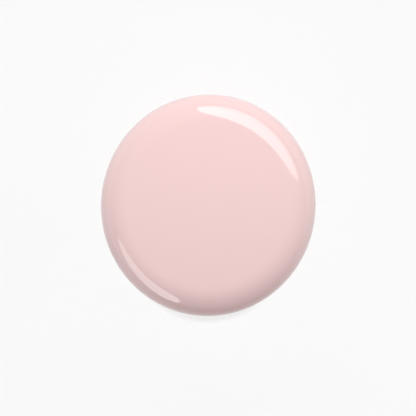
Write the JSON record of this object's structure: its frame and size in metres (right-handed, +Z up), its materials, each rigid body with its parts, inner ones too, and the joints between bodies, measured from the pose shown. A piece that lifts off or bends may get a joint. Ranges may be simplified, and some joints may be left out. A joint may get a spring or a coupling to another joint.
{
  "type": "nail polish bottle",
  "caption": "Small glass nail polish bottle with a screw-on brush applicator under a pull-off, domed, pebble-shaped over-cap.",
  "frame": {"origin": "centre of the glass bottle's base, on the plane that it stands on", "axes": "+Z up along the bottle's axis, +Y along the longer side of the slightly oval plan, +X along its shorter side"},
  "size_m": [0.03, 0.031, 0.068],
  "materials": {
    "flint_glass": "clear, fire-polished soda-lime glass",
    "label_paper": "blank coated paper label",
    "polish": "opaque pale pink lacquer, liquid",
    "ball_steel": "polished stainless steel",
    "liner_foam": "white polyethylene foam with a smooth skin",
    "rod_plastic": "moulded natural polyethylene, satin",
    "staple_metal": "bright drawn stainless wire",
    "bristle_nylon": "nylon filament, stained with polish",
    "inner_cap_plastic": "moulded white polypropylene, satin",
    "cap_lacquer": "moulded ABS, sprayed pale pink and clear-coated to a high gloss",
    "collet_plastic": "moulded natural polypropylene",
    "weight_steel": "zinc-plated turned steel"
  },
  "bodies": {
    "bottle": {"glass_bottle": "flint_glass", "base_label": "label_paper", "polish": "polish"},
    "ball_1": {"mixing_ball_1": "ball_steel"},
    "ball_2": {"mixing_ball_2": "ball_steel"},
    "liner": {"seal_liner": "liner_foam"},
    "brush": {"brush_rod": "rod_plastic", "brush_staple": "staple_metal", "bristle_fold": "bristle_nylon"},
    "tuft": {"bristles": "bristle_nylon"},
    "inner_cap": {"inner_cap": "inner_cap_plastic"},
    "over_cap": {"over_cap": "cap_lacquer", "cap_collet": "collet_plastic", "cap_weight": "weight_steel"}
  },
  "joints": [
    {"name": "over_cap_pull", "type": "slide", "parent": "inner_cap", "child": "over_cap", "axis": [0, 0, 1], "range_m": [0, 0.036]},
    {"name": "cap_turn", "type": "hinge", "parent": "brush", "child": "inner_cap", "pos_m": [0, 0, 0.044], "axis": [0, 0, 1], "range_deg": [0, 540]},
    {"name": "thread_rise", "type": "slide", "parent": "liner", "child": "brush", "axis": [0, 0, 1], "range_m": [0, 0.0032]},
    {"name": "applicator_lift", "type": "slide", "parent": "bottle", "child": "liner", "axis": [0, 0, 1], "range_m": [0, 0.06]},
    {"name": "bristle_bend", "type": "hinge", "parent": "brush", "child": "tuft", "pos_m": [0, 0, 0.0196], "axis": [1, 0, 0], "range_deg": [-12, 12], "stiffness_Nm_per_rad": 0.0007},
    {"name": "ball_1_roll", "type": "hinge", "parent": "bottle", "child": "ball_1", "pos_m": [0, 0, 0.0072], "axis": [0, 0, 1], "range_deg": [-75, 75]},
    {"name": "ball_2_roll", "type": "hinge", "parent": "bottle", "child": "ball_2", "pos_m": [0, 0, 0.0072], "axis": [0, 0, 1], "range_deg": [-75, 75]}
  ],
  "couplings": [
    {"joint": "thread_rise", "follows": "cap_turn", "m_per_rad": 0.00033688}
  ]
}
